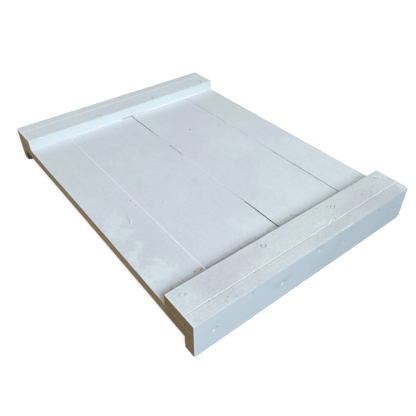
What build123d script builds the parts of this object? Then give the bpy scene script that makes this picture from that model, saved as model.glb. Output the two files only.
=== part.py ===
from build123d import *
import os

# Migratory cover for a ten-frame beehive: a flat timber lid with a nailed cleat at each end.
# Frame, in millimetres: X runs across the deck boards, Y along them, Z is up. The front cleat is at -Y.
# The origin is under the middle of the cover, level with the bottom edges of the two fascias.

# Deck: tongue-and-groove boards laid side by side, named from -X to +X.
left_board_width = 73.5
inner_board_width = 134.3
right_board_width = 70.65
board_thickness = 19.5
inside_length = 511.175  # boards run this far, from one fascia to the other
board_arris = 0.5  # sawn edges, knocked off with a block

# Edge joints between boards.
joint_gap = 0.8  # open seam between neighbouring faces
tongue_length = 6.0
tongue_thickness = 6.0
tongue_tip_bevel = 0.8
tongue_clearance = 0.15  # above and below the tongue in its groove

# End cleats: a batten on top of the deck and a fascia across its ends.
batten_width = 39.7
batten_thickness = 19.5
fascia_thickness = 19.5
lip_drop = 22.225  # how far a fascia hangs below the deck
cleat_arris = 1.0  # planed stock with eased corners

# Nails: round flat heads, driven a little below the surface.
batten_nail_length = 32.0
fascia_nail_length = 50.8
shank_diameter = 2.5
head_diameter = 7.0
head_thickness = 1.1
point_length = 4.5
point_flat_diameter = 0.5
head_set = 0.4  # depth of the head's face below the timber
nail_clearance = 0.05  # all round the nail in its hole

# Where the nails stand. Offsets run along X, from board centres or from board joints.
front_batten_nail_inset = 13.0  # from the batten's inner edge
rear_batten_nail_inset = 12.0
front_batten_nail_offsets = (-19.6, 8.7, 4.4, 14.6)  # from board centres
rear_batten_nail_offsets = (-18.5, 3.2, -11.3, 15.1)
front_lower_nail_offsets = (-5.3, 4.2, -8.7, 4.7)  # from board centres
rear_lower_nail_offsets = (4.0, -6.5, 3.0, -4.0)
front_upper_nail_offsets = (13.6, 0.1, -4.2)  # from board joints
rear_upper_nail_offsets = (-6.0, 4.5, 8.0)

# Sizes that follow from the ones above.
board_widths = (left_board_width, inner_board_width, inner_board_width, right_board_width)
cover_width = sum(board_widths)
cover_length = inside_length + 2 * fascia_thickness
deck_underside = lip_drop
deck_top = deck_underside + board_thickness
cover_height = deck_top + batten_thickness
deck_mid_height = deck_underside + board_thickness / 2
batten_mid_height = deck_top + batten_thickness / 2
seams = [-cover_width / 2 + sum(board_widths[:i]) for i in range(len(board_widths) + 1)]
board_centres = [(low + high) / 2 for low, high in zip(seams, seams[1:])]
board_joints = seams[1:-1]

FRONT, REAR = -1, 1
ENDS = {"front": FRONT, "rear": REAR}


def right_edge(x, has_tongue):
    """Outline of a board's +X edge, from its underside to its top."""
    low, high = deck_mid_height - tongue_thickness / 2, deck_mid_height + tongue_thickness / 2
    tip = x + tongue_length
    tongue = [
        (x, low),
        (tip - tongue_tip_bevel, low),
        (tip, low + tongue_tip_bevel),
        (tip, high - tongue_tip_bevel),
        (tip - tongue_tip_bevel, high),
        (x, high),
    ]
    return [
        (x - board_arris, deck_underside),
        (x, deck_underside + board_arris),
        *(tongue if has_tongue else []),
        (x, deck_top - board_arris),
        (x - board_arris, deck_top),
    ]


def left_edge(x, has_groove):
    """Outline of a board's -X edge, from its top to its underside."""
    half_height = tongue_thickness / 2 + tongue_clearance
    low, high = deck_mid_height - half_height, deck_mid_height + half_height
    groove = [(x, high), (x + tongue_length, high), (x + tongue_length, low), (x, low)]
    return [
        (x + board_arris, deck_top),
        (x, deck_top - board_arris),
        *(groove if has_groove else []),
        (x, deck_underside + board_arris),
        (x + board_arris, deck_underside),
    ]


def make_board(index):
    """One deck board: a groove on its -X edge and a tongue on its +X edge, where it has a neighbour."""
    has_groove, has_tongue = index > 0, index < len(board_widths) - 1
    left = seams[index] + (joint_gap / 2 if has_groove else 0)
    right = seams[index + 1] - (joint_gap / 2 if has_tongue else 0)
    outline = right_edge(right, has_tongue) + left_edge(left, has_groove)
    profile = make_face(Plane.XZ * Polyline(outline, close=True))
    return extrude(profile, amount=inside_length / 2, both=True)


def make_bar(thickness, height, y, z):
    """A straight planed bar across the cover, centred on y and z."""
    profile = Plane.YZ * Pos(y, z) * RectangleRounded(thickness, height, cleat_arris)
    return extrude(profile, amount=cover_width / 2, both=True)


def make_batten(end):
    """The strip that lies on the deck, against the fascia's inner face."""
    y = end * (inside_length - batten_width) / 2
    return make_bar(batten_width, batten_thickness, y, batten_mid_height)


def make_fascia(end):
    """The full-height board across the deck's ends, whose lip hangs over the hive body."""
    y = end * (inside_length + fascia_thickness) / 2
    return make_bar(fascia_thickness, cover_height, y, cover_height / 2)


def make_nail(length, clearance=0.0, head_room=0.0):
    """A nail with its head's face at the origin, pointing down. With clearances it is the hole it fills."""
    shank_radius = shank_diameter / 2 + clearance
    head_radius = head_diameter / 2 + clearance
    tip_radius = point_flat_diameter / 2 + clearance
    outline = [
        (0, head_room),
        (head_radius, head_room),
        (head_radius, -head_thickness),
        (shank_radius, -head_thickness),
        (shank_radius, -length + point_length),
        (tip_radius, -length - clearance),
        (0, -length - clearance),
    ]
    return revolve(make_face(Plane.XZ * Polyline(outline, close=True)), Axis.Z)


def batten_nail_places(end, inset, offsets):
    """Nails down through a batten into each board, driven from the top."""
    y = end * (inside_length / 2 - batten_width + inset)
    return [Pos(x + dx, y, cover_height - head_set) for x, dx in zip(board_centres, offsets)]


def fascia_nail_places(end, stations, offsets, height):
    """Nails through a fascia, driven level from its outer face."""
    y = end * (cover_length / 2 - head_set)
    return [Pos(x + dx, y, height) * Rot(-90 * end, 0, 0) for x, dx in zip(stations, offsets)]


def nail_rows(end):
    """The three rows of nails of one cleat: where each nail stands, and its length."""
    if end == FRONT:
        inset, on_top = front_batten_nail_inset, front_batten_nail_offsets
        lower, upper = front_lower_nail_offsets, front_upper_nail_offsets
    else:
        inset, on_top = rear_batten_nail_inset, rear_batten_nail_offsets
        lower, upper = rear_lower_nail_offsets, rear_upper_nail_offsets
    into_boards = fascia_nail_places(end, board_centres, lower, deck_mid_height)
    into_batten = fascia_nail_places(end, board_joints, upper, batten_mid_height)
    return {
        "batten_nails": (batten_nail_places(end, inset, on_top), batten_nail_length),
        "fascia_lower_nails": (into_boards, fascia_nail_length),
        "fascia_upper_nails": (into_batten, fascia_nail_length),
    }


def make_cover():
    """Every piece of the cover by name, with the timber holed for its nails."""
    timber = {f"deck_board_{i + 1}": make_board(i) for i in range(len(board_widths))}
    nails, holes = {}, []
    for side, end in ENDS.items():
        timber[f"{side}_batten"] = make_batten(end)
        timber[f"{side}_fascia"] = make_fascia(end)
        for row, (places, length) in nail_rows(end).items():
            hole = make_nail(length, nail_clearance, head_set)
            nails[f"{side}_{row}"] = Compound([place * make_nail(length) for place in places])
            holes += [place * hole for place in places]
    return {name: piece - holes for name, piece in timber.items()} | nails


os.makedirs("parts", exist_ok=True)
for node, shape in make_cover().items():
    export_step(shape, f"parts/{node}.step")
print(f"cover {cover_width:.2f} x {cover_length:.2f} x {cover_height:.2f} mm")
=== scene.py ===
import math

import bmesh
import bpy
import numpy as np
from mathutils import Matrix, Vector, noise


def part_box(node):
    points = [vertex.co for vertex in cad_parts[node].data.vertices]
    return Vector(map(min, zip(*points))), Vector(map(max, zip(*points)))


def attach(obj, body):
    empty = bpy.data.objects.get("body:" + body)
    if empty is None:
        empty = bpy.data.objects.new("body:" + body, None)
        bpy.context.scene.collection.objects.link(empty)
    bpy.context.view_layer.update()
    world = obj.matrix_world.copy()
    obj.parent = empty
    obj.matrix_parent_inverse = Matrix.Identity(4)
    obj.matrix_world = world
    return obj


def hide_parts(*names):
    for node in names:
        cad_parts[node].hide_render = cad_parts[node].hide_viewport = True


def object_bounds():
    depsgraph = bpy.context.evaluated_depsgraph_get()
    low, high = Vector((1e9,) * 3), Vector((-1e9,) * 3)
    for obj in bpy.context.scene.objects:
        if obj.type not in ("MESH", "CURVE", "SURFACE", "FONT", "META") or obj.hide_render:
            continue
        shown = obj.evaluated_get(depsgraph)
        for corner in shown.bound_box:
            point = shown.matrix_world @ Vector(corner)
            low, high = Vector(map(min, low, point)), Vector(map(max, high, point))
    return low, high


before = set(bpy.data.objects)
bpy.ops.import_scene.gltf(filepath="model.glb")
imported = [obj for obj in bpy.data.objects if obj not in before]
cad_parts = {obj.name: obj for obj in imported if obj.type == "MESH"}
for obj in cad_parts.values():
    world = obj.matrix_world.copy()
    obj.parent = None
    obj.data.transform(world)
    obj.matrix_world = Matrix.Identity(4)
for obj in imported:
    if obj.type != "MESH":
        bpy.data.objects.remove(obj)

# A migratory cover: a painted timber beehive lid, dressed over the frame's own timbers and nails.
# X runs across the boards, Y along them from the front cleat to the rear one, Z is up.
# Lengths are in metres, and in millimetres where a comment says so.
MM = 0.001
X_AXIS, Y_AXIS, Z_AXIS = np.eye(3)
cad_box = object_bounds()

SIDES = {"front": -1, "rear": 1}
BOARDS = ["deck_board_1", "deck_board_2", "deck_board_3", "deck_board_4"]

# Timber sizes that the frame's boxes don't give
JOINT_GAP = 0.8 * MM
TONGUE_LENGTH = 6.0 * MM
TONGUE_HALF = 3.0 * MM
GROOVE_HALF = 3.15 * MM
BOARD_ARRIS = 0.7 * MM
OUTER_ARRIS = 1.2 * MM  # along the deck's two long edges
CLEAT_ARRIS = 1.0 * MM
END_ARRIS = 0.5 * MM
END_TRIM = 0.25 * MM  # cleat ends stand this far inside the frame's, so the glue line shows

# Mesh spacing
BOARD_STEP = 3.0 * MM
UNDERSIDE_STEP = 6.0 * MM
CLEAT_STEP = 2.0 * MM
SUPPORT = 0.6 * MM  # a row this close to each arris keeps the flat faces flat
ARRIS_CUTS = 4
CAP_INSET = 3.5 * MM
TINY = 1e-7
SHARP = math.radians(38)  # edges that turn more than this stay crisp

# Nail pockets: a shallow round dent in the paint, then a hole with the head in it
POCKET_HALF = 6.5 * MM
POCKET_CELLS = 8
DENT_RADIUS = 4.9 * MM
DENT_DEPTH = 0.02 * MM
POCKET_RINGS = [  # radius, depth, and shares of the dark marks and of the pale dabs round the nail
    (4.3 * MM, 0.04 * MM, 0.0, 0.6),
    (3.85 * MM, 0.12 * MM, 0.4, 1.0),
    (3.62 * MM, 0.3 * MM, 1.0, 1.0),
    (3.58 * MM, 1.2 * MM, 1.0, 0.0),
]
NAIL_HEAD_RADIUS = 3.5 * MM
NAIL_SEGMENTS = 24


# What the frame gives

def box(node):
    """Lowest and highest corner of a node."""
    return np.array(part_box(node))


board_boxes = [box(node) for node in BOARDS]
deck_low, deck_top = board_boxes[0][:, 2]
deck_mid = (deck_low + deck_top) / 2
joints = [low[0] - JOINT_GAP / 2 for low, high in board_boxes[1:]]
batten_boxes = {side: box(f"{side}_batten") for side in SIDES}
batten_foot = {"front": batten_boxes["front"][1, 1], "rear": batten_boxes["rear"][0, 1]}
seam_y = {"front": batten_boxes["front"][0, 1], "rear": batten_boxes["rear"][1, 1]}
cover_top = batten_boxes["front"][1, 2]
left_x, right_x = cad_box[0][0], cad_box[1][0]


def nail_places(node):
    """Lowest and highest corner of each nail of a group, from its mesh: nails stand apart along X."""
    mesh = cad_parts[node].data
    points = np.empty(len(mesh.vertices) * 3)
    mesh.vertices.foreach_get("co", points)
    points = points.reshape(-1, 3)
    points = points[np.argsort(points[:, 0])]
    groups = np.split(points, np.flatnonzero(np.diff(points[:, 0]) > 2 * NAIL_HEAD_RADIUS) + 1)
    return [(group.min(axis=0), group.max(axis=0)) for group in groups]


# Noise, soft steps and tables

def ripple(points, wave, seed):
    """Smooth noise from -1 to 1 at each point, with its own wavelength along each axis."""
    scaled = points / np.array(wave) + seed * 17.3
    return np.array([noise.noise(Vector(p)) for p in scaled])


def smooth(values, low, high):
    """A soft step from 0 at low to 1 at high."""
    t = np.clip((values - low) / (high - low), 0, 1)
    return t * t * (3 - 2 * t)


def rise(lengths, low, high):
    """A soft step from 0 at low to 1 at high, both in mm."""
    return smooth(lengths, low * MM, high * MM)


def fall(lengths, low, high):
    """A soft step from 1 at low to 0 at high, both in mm."""
    return 1 - smooth(lengths, low * MM, high * MM)


def read(table, lengths):
    """Values read off a table of (place in mm, value) rows."""
    return np.interp(lengths / MM, *np.array(table).T)


def unit(v):
    """A vector at length one."""
    return v / np.linalg.norm(v)


def blots(points, spots):
    """How deep each point is in some round patches (x, y, half width, half length, strength), in mm."""
    depth = np.zeros(len(points))
    for x, y, half_width, half_length, strength in spots:
        dx = (points[:, 0] / MM - x) / half_width
        dy = (points[:, 1] / MM - y) / half_length
        depth = np.maximum(depth, strength * np.exp(-0.7 * (dx * dx + dy * dy)))
    return depth


# Outlines and loops

def ruled(start, end, step, marks=()):
    """Rising places from start to end, at most a step apart, with even cells round each mark."""
    fixed = {start, end}
    if end - start > 4 * SUPPORT:
        fixed |= {start + SUPPORT, end - SUPPORT}
    for mark in marks:
        cells = range(-POCKET_CELLS, POCKET_CELLS + 1, 2)
        fixed.update(mark + POCKET_HALF * k / POCKET_CELLS for k in cells)
    fixed = sorted(fixed)
    places = fixed[:1]
    for low, high in zip(fixed, fixed[1:]):
        count = max(1, math.ceil((high - low) / step - 0.01))
        places += [low + (high - low) * k / count for k in range(1, count + 1)]
    return places


def outline(corners, marks=()):
    """A closed anticlockwise outline of square corners (a, b, radius, step to the next corner).

    Returns its points, their outward normals and how far round an arris each of them is."""
    rows = []
    for k, (a, b, radius, step) in enumerate(corners):
        here = np.array((a, b))
        back = unit(np.array(corners[k - 1][:2]) - here)
        following = corners[(k + 1) % len(corners)]
        ahead = np.array(following[:2]) - here
        on = unit(ahead)
        convex = back[1] * on[0] - back[0] * on[1] > 0
        if radius:
            for turn in np.linspace(0, math.pi / 2, ARRIS_CUTS + 1):
                outward = -(on * math.cos(turn) + back * math.sin(turn))
                rows.append((here + (on + back) * radius + outward * radius, outward, math.sin(2 * turn)))
        else:
            rows.append((here, unit(on + back) * (-1 if convex else 1), 0.0))
        start = here + on * radius
        length = np.linalg.norm(ahead) - radius - following[2]
        outward = np.array((on[1], -on[0]))
        offsets = [np.array(mark) - start for mark in marks]
        on_edge = [m @ on for m in offsets if abs(m @ outward) < TINY and 0 < m @ on < length]
        for distance in ruled(0, length, step, on_edge)[1:-1]:
            rows.append((start + on * distance, outward, 0.0))
    return [np.array(column) for column in zip(*rows)]


def stations(start, end, step, marks=()):
    """Places along a bar, each with how far the outline draws in there: its ends are eased."""
    lead = [(start, END_ARRIS), (start + 0.3 * END_ARRIS, 0.3 * END_ARRIS)]
    tail = [(end - place + start, inset) for place, inset in reversed(lead)]
    middle = ruled(start + END_ARRIS, end - END_ARRIS, step, marks)
    return lead + [(place, 0.0) for place in middle] + tail


def bridge(outer, inner):
    """Faces between two loops of as many vertices."""
    return [list(face) for face in zip(outer, outer[1:] + outer[:1], inner[1:] + inner[:1], inner)]


def tube(start, rings, size):
    """Faces of a tube of some rings of vertices, numbered from start, with both ends closed."""
    loops = [list(range(start + k * size, start + (k + 1) * size)) for k in range(rings)]
    faces = [face for outer, inner in zip(loops, loops[1:]) for face in bridge(outer, inner)]
    return faces + [loops[0], loops[-1]]


# Marks round the nails, as arcs: bearing from +X, half width, both in degrees, and strength.
# The dark arcs are cracked paint and painted shade in each nail's dent, the pale dabs painted highlights.
BROKEN_RING = ([(218, 50, 0.7), (38, 50, 0.7)], [])
TICK_AND_DAB = ([(-45, 40, 0.8)], [(150, 55, 0.7)])
NAIL_MARKS = {  # dark arcs and pale dabs, nail by nail from the left
    "front_batten_nails": [
        ([(212, 55, 0.4), (35, 14, 0.4)], []),
        ([(218, 52, 0.9), (38, 52, 0.8)], []),
        ([(200, 40, 0.7), (38, 45, 0.75)], []),
        ([(225, 25, 0.3)], [(150, 40, 0.5)]),
    ],
    "rear_batten_nails": [
        ([(215, 40, 0.5)], [(35, 60, 0.5)]),
        ([(215, 32, 0.7), (40, 26, 0.7)], []),
        ([(30, 35, 0.8)], [(215, 70, 1.0)]),
        ([(215, 35, 0.6)], [(30, 40, 0.6)]),
    ],
    "front_fascia_lower_nails": [
        ([(-40, 38, 0.9)], [(150, 42, 1.0)]),
        ([(-50, 35, 0.6)], [(140, 45, 0.8)]),
        ([(200, 25, 0.3)], [(150, 35, 0.25)]),
        ([(-35, 32, 0.8)], [(150, 40, 0.35)]),
    ],
    "front_fascia_upper_nails": [
        ([(-40, 32, 0.6)], [(155, 40, 0.3)]),
        ([(165, 28, 1.0), (-70, 34, 1.0)], [(40, 55, 0.6)]),
        ([(-40, 30, 0.9)], [(145, 40, 0.3)]),
    ],
}


def nail_marks(node):
    """The marks of each nail of a group."""
    usual = TICK_AND_DAB if "fascia" in node else BROKEN_RING
    return NAIL_MARKS.get(node, [usual] * 4)


def arc_strength(arcs, angle):
    """How strong some arcs are at an angle round a nail."""
    strength = 0.0
    for bearing, half_width, most in arcs:
        away = abs((math.degrees(angle) - bearing + 180) % 360 - 180)
        strength = max(strength, most * smooth(-away, -1.3 * half_width, -0.7 * half_width))
    return strength


def mark_strengths(marks, shares, angle):
    """Shares of a nail's dark marks and of its pale dabs, at an angle round it."""
    return [share * arc_strength(arcs, angle) for arcs, share in zip(marks, shares)]


ALONG_X, ALONG_Y = (0, 1, 2), (1, 0, 2)  # which of X, Y and Z a bar's length, breadth and height are


class Bar:
    """The skin of a swept timber: its points, outward normals and faces, and values for its material."""

    def __init__(self, shape, along, pockets=(), order=ALONG_X, capped=False):
        section, normals, arris = shape
        self.rows, self.faces = [], []
        for place, inset in along:
            for spot, outward, on_arris in zip(section - normals * inset, normals, arris):
                self.add(place, spot, outward, arris=on_arris, end=inset / END_ARRIS)
        grid = np.arange(len(self.rows)).reshape(len(along), -1)
        covered = np.ones(grid.shape, bool)
        places = np.array(along)[:, 0]
        for pocket in pockets:
            self.pocket(grid, covered, places, section, *pocket)
        for row in range(len(along) - 1):
            faces = bridge(list(grid[row]), list(grid[row + 1]))
            self.faces += [face for face, kept in zip(faces, covered[row]) if kept]
        for row in (0, -1):
            rim = list(grid[row])
            self.faces.append(self.cap(rim, places[row], section, normals) if capped else rim)
        used = np.unique(np.concatenate(self.faces))  # pockets leave some vertices without a face
        self.faces = [np.searchsorted(used, face).tolist() for face in self.faces]
        table = np.array(self.rows)[used]
        self.points, self.normals = table[:, :3][:, order], table[:, 3:6][:, order]
        self.arris, self.sunk, self.dirt, self.dab, self.end = table[:, 6:].T

    def add(self, place, spot, outward, arris=0.0, sunk=0.0, dirt=0.0, dab=0.0, end=0.0):
        """Adds a vertex at a place along the bar and a spot in its outline. Returns its number."""
        self.rows.append((place, *spot, 0.0, *outward, arris, sunk, dirt, dab, end))
        return len(self.rows) - 1

    def cap(self, rim, place, section, normals):
        """A ring inside an end's rim, so the rim can weather by itself. Returns the ring."""
        low, high = section.min(axis=0), section.max(axis=0)
        middle = (low + high) / 2
        spots = middle + (section - middle) * (1 - 2 * CAP_INSET / (high - low))
        ring = [self.add(place, spot, outward, end=2.0) for spot, outward in zip(spots, normals)]
        self.faces += bridge(rim, ring)
        return ring

    def pocket(self, grid, covered, places, section, place, spot, outward, marks):
        """Opens a block of the grid round a nail, and closes it with a round dent and a hole."""
        side = np.array((-outward[1], outward[0]))
        offsets = section - spot
        reach = POCKET_HALF + TINY
        cols = np.flatnonzero((abs(offsets @ outward) < TINY) & (abs(offsets @ side) < reach))
        rows = np.flatnonzero(abs(places - place) < reach)
        covered[rows[0]:rows[-1], cols[0]:cols[-1]] = False
        block = grid[np.ix_(rows, cols)]
        loop = [*block[0, :-1], *block[:-1, -1], *block[-1, :0:-1], *block[:0:-1, 0]]
        width = grid.shape[1]
        square = np.array([(places[v // width] - place, offsets[v % width] @ side) for v in loop])
        angles = [math.atan2(v, u) for u, v in square]
        circle = np.array([(math.cos(angle), math.sin(angle)) for angle in angles])
        rings = [
            (square * (1 - share) + DENT_RADIUS * circle * share, DENT_DEPTH * share, 0.0, 0.0)
            for share in (0.5, 1.0)
        ]
        rings += [(radius * circle, *rest) for radius, *rest in POCKET_RINGS]
        for spread, depth, *shares in rings:
            ring = []
            for (u, v), angle in zip(spread, angles):
                dirt, dab = mark_strengths(marks, shares, angle)
                ring.append(self.add(place + u, spot + side * v, outward, sunk=depth, dirt=dirt, dab=dab))
            self.faces += bridge(loop, ring)
            loop = ring
        centre = self.add(place, spot, outward, sunk=depth, dirt=1.0)
        self.faces += [[a, b, centre] for a, b in zip(loop, loop[1:] + loop[:1])]

    def sink(self, depth):
        """Wears the skin back along its normals."""
        self.points = self.points - self.normals * depth[:, None]


def make_object(name, points, faces, values, material):
    """A mesh object with its values as attributes and one material, riding on the cover."""
    mesh = bpy.data.meshes.new(name)
    mesh.from_pydata([tuple(p) for p in points], [], faces)
    for key, numbers in values.items():
        mesh.attributes.new(key, "FLOAT", "POINT").data.foreach_set("value", np.asarray(numbers, float))
    work = bmesh.new()
    work.from_mesh(mesh)
    bmesh.ops.recalc_face_normals(work, faces=work.faces)
    work.to_mesh(mesh)
    work.free()
    mesh.polygons.foreach_set("use_smooth", [True] * len(mesh.polygons))
    mesh.set_sharp_from_angle(angle=SHARP)
    mesh.materials.append(material)
    piece = bpy.data.objects.new(name, mesh)
    bpy.context.collection.objects.link(piece)
    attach(piece, "root")
    return piece


# Materials

SPECULAR = 0.3


class Graph:
    """The node tree of a material or a world, built by short calls that return sockets."""

    def __init__(self, owner):
        owner.use_nodes = True
        self.owner = owner
        self.tree = owner.node_tree
        self.tree.nodes.clear()

    def node(self, kind, inputs=None, **settings):
        """A new node, with each input linked to a socket or set to a constant."""
        made = self.tree.nodes.new("ShaderNode" + kind)
        for key, value in settings.items():
            setattr(made, key, value)
        for key, value in (inputs or {}).items():
            if isinstance(value, bpy.types.NodeSocket):
                self.tree.links.new(value, made.inputs[key])
            else:
                made.inputs[key].default_value = value
        return made

    def attribute(self, name):
        return self.node("Attribute", attribute_name=name).outputs["Fac"]

    def math(self, operation, a, b=0.0, c=0.0):
        return self.node("Math", {0: a, 1: b, 2: c}, operation=operation).outputs[0]

    def times(self, a, b):
        return self.math("MULTIPLY", a, b)

    def scaled(self, value, factor, plus):
        """A value times a factor, plus another value."""
        return self.math("MULTIPLY_ADD", value, factor, plus)

    def rest(self, value):
        """What a value leaves of one."""
        return self.math("SUBTRACT", 1.0, value)

    def band(self, value, low, high, start=0.0, end=1.0):
        """A soft step of a value, from start at low to end at high."""
        inputs = {"Value": value, "From Min": low, "From Max": high, "To Min": start, "To Max": end}
        return self.node("MapRange", inputs, interpolation_type="SMOOTHSTEP").outputs[0]

    def noise(self, vector, scale, detail=3.0, roughness=0.55):
        inputs = {"Vector": vector, "Scale": scale, "Detail": detail, "Roughness": roughness}
        return self.node("TexNoise", inputs).outputs["Fac"]

    def ragged(self, value, vector, scale, spread):
        """A value with noise added, for an edge that wanders."""
        return self.scaled(self.math("SUBTRACT", self.noise(vector, scale), 0.5), spread, value)

    def mix(self, factor, a, b, blend="MIX"):
        return self.node("Mix", {0: factor, 6: a, 7: b}, data_type="RGBA", blend_type=blend).outputs[2]

    def tint(self, factor, colour, by):
        """A colour multiplied by another, as far as the factor says."""
        return self.mix(factor, colour, self.mix(1.0, colour, by, "MULTIPLY"))

    def stretch(self, vector, along=1.0, across=1.0):
        return self.node("Mapping", {"Vector": vector, "Scale": (along, across, 1.0)}).outputs[0]

    def split(self, vector):
        return self.node("SeparateXYZ", {0: vector}).outputs

    def grain_space(self, along_y, vector):
        """A vector with its part along the grain first."""
        if not along_y:
            return vector
        parts = self.split(vector)
        return self.node("CombineXYZ", {0: parts["Y"], 1: parts["X"], 2: parts["Z"]}).outputs[0]

    def seen(self):
        """One for what the camera sees, straight or by way of gloss or glass."""
        paths = self.node("LightPath").outputs
        straight = self.math("MAXIMUM", paths["Is Camera Ray"], paths["Is Glossy Ray"])
        return self.math("MAXIMUM", straight, paths["Is Transmission Ray"])

    def choose(self, factor, a, b):
        """One shader where the factor is 0 and another where it is 1."""
        return self.node("MixShader", {0: factor, 1: a.outputs[0], 2: b.outputs[0]})

    def surface(self, colour, roughness, height, distance, strength, metallic=0.0):
        """The finished material of a bumpy surface."""
        bump = self.node("Bump", {"Height": height, "Distance": distance, "Strength": strength})
        inputs = {"Base Color": colour, "Metallic": metallic, "Roughness": roughness}
        inputs |= {"Normal": bump.outputs[0], "Specular IOR Level": SPECULAR}
        return self.finish(self.node("BsdfPrincipled", inputs))

    def finish(self, shader, output="OutputMaterial"):
        """Links the shader to the output. Returns the material or the world."""
        self.tree.links.new(shader.outputs[0], self.node(output).inputs["Surface"])
        return self.owner


def shade(red, green, blue):
    """A linear colour for a socket."""
    return (red, green, blue, 1.0)


DECK_TOPS = (shade(0.605, 0.655, 0.728), shade(0.634, 0.722, 0.762))  # cool and pale clouds of the paint
CLEAT_TOPS = {
    "front": (shade(0.540, 0.582, 0.640), shade(0.585, 0.665, 0.695)),
    "rear": (shade(0.620, 0.678, 0.733), shade(0.636, 0.716, 0.741)),
}
# Painted light and shade on the upright faces: the battens' sides lighter, as if lit from the deck, the
# fascias' sides darker and bluer, and darker still toward the right end.
BATTEN_SIDES_LIT = (shade(0.63, 0.728, 0.765), shade(0.65, 0.742, 0.78))  # at the left end and at the right
FASCIA_SIDES_SHADED = (shade(0.455, 0.558, 0.641), shade(0.355, 0.451, 0.529))
# Painted shade toward the right end of the tops.
PAINT_RIGHT_SHADE = shade(0.44, 0.49, 0.52)
DULLING_AND_SHADE = shade(0.73, 0.75, 0.715)  # what dull paint and painted shade keep of the colour
PAINT_OLD = shade(0.598, 0.670, 0.682)
PAINT_FRESH = shade(0.640, 0.738, 0.768)
# Thick paint's white, also used for painted highlights and painted light.
PAINT_THICK_AND_HIGHLIGHT = shade(0.83, 0.90, 0.95)
DUST = shade(0.52, 0.50, 0.51)
# Stains, and the olive tint of painted shade behind the front batten.
STAIN_AND_SHADE = shade(0.38, 0.40, 0.31)
# Grime, and painted shade: in the nail dents, behind the front batten and on its back arris, deep in the
# joints and in the batten corners.
GRIME_AND_SHADE = shade(0.09, 0.09, 0.08)
# Propolis, and painted shade on the fascias' inner lips.
PROPOLIS_AND_SHADE = shade(0.035, 0.019, 0.009)
RESIN = shade(0.36, 0.25, 0.04)
SPECK_DARK = shade(0.22, 0.225, 0.225)
SPECK_BROWN = shade(0.24, 0.235, 0.165)
ZINC = shade(0.46, 0.48, 0.50)
RUST = shade(0.20, 0.09, 0.04)
WOOD_EARLY = shade(0.46, 0.345, 0.185)
WOOD_LATE = shade(0.31, 0.215, 0.11)
WOOD_GREY = shade(0.36, 0.285, 0.18)
WOOD_PALE = shade(0.68, 0.56, 0.38)
WOOD_END = shade(0.66, 0.62, 0.52)
WOOD_DARKENED = shade(0.70, 0.66, 0.54)  # what darkened wood keeps of its colour
RING_SPACING = 4.2 * MM
RING_WANDER = 0.014


def wood_colour(g, place, facing, pith):
    """Bare pine: rings about a pith that runs along the grain, fine fibres, darker where cut across.

    Returns its colour and its height."""
    wander = g.noise(g.stretch(place, 0.05), 22.0, 2.0)
    parts = g.split(place)
    across = g.math("SUBTRACT", parts[1], pith[0])
    down = g.math("SUBTRACT", parts[2], pith[1])
    reach = g.math("SQRT", g.scaled(across, across, g.times(down, down)))
    reach = g.scaled(wander, RING_WANDER, reach)
    late = g.band(g.math("SINE", g.times(reach, 2 * math.pi / RING_SPACING)), 0.1, 1.0)
    colour = g.mix(g.times(late, 0.7), WOOD_EARLY, WOOD_LATE)
    fibre = g.noise(g.stretch(place, 0.03), 900.0)
    colour = g.mix(g.band(fibre, 0.35, 0.75, 0.0, 0.5), colour, WOOD_LATE)
    colour = g.mix(g.band(g.noise(place, 30.0), 0.4, 0.7, 0.0, 0.55), colour, WOOD_GREY)
    cut = g.band(g.math("ABSOLUTE", g.split(facing)[0]), 0.6, 0.9)
    colour = g.tint(cut, colour, WOOD_END)
    colour = g.tint(g.attribute("old_paint_and_darker_wood"), colour, WOOD_DARKENED)
    colour = g.mix(g.times(g.attribute("edge"), 0.7), colour, WOOD_PALE)
    colour = g.mix(g.times(g.attribute("dirt"), 0.7), colour, GRIME_AND_SHADE)
    smeared = g.band(g.ragged(g.attribute("propolis_and_shade"), place, 90.0, 0.9), 0.3, 0.7, 0.0, 0.9)
    return g.mix(smeared, colour, PROPOLIS_AND_SHADE), g.scaled(late, 0.5, fibre)


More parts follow.
